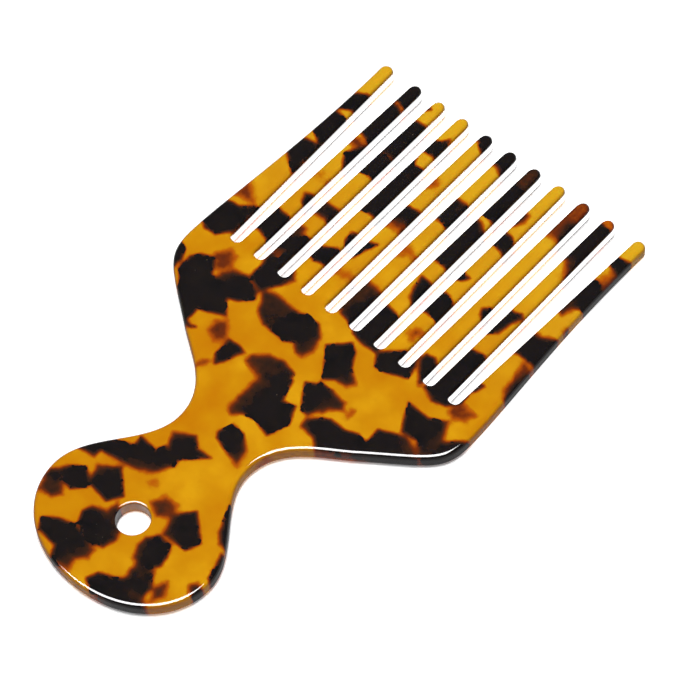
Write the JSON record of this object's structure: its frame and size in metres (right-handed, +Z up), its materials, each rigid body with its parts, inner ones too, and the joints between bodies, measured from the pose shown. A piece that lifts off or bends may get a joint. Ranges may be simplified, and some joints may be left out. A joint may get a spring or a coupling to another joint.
{
  "type": "hair comb",
  "caption": "Flat wide-toothed hair comb with a waisted neck, an oval grip and a round hanging hole, in tortoiseshell-patterned acetate.",
  "frame": {"origin": "middle of the underside's bounding box, on the surface that the comb lies on", "axes": "+Y from the grip to the tips of the teeth, +X across the teeth, +Z up out of the sheet"},
  "size_m": [0.0984, 0.17, 0.005],
  "materials": {
    "tortoiseshell_acetate": "polished"
  },
  "bodies": {
    "root": {"grip": "tortoiseshell_acetate", "neck": "tortoiseshell_acetate", "palm": "tortoiseshell_acetate", "tooth_01": "tortoiseshell_acetate", "tooth_02": "tortoiseshell_acetate", "tooth_03": "tortoiseshell_acetate", "tooth_04": "tortoiseshell_acetate", "tooth_05": "tortoiseshell_acetate", "tooth_06": "tortoiseshell_acetate", "tooth_07": "tortoiseshell_acetate", "tooth_08": "tortoiseshell_acetate", "tooth_09": "tortoiseshell_acetate", "tooth_10": "tortoiseshell_acetate", "tooth_11": "tortoiseshell_acetate"}
  },
  "joints": []
}
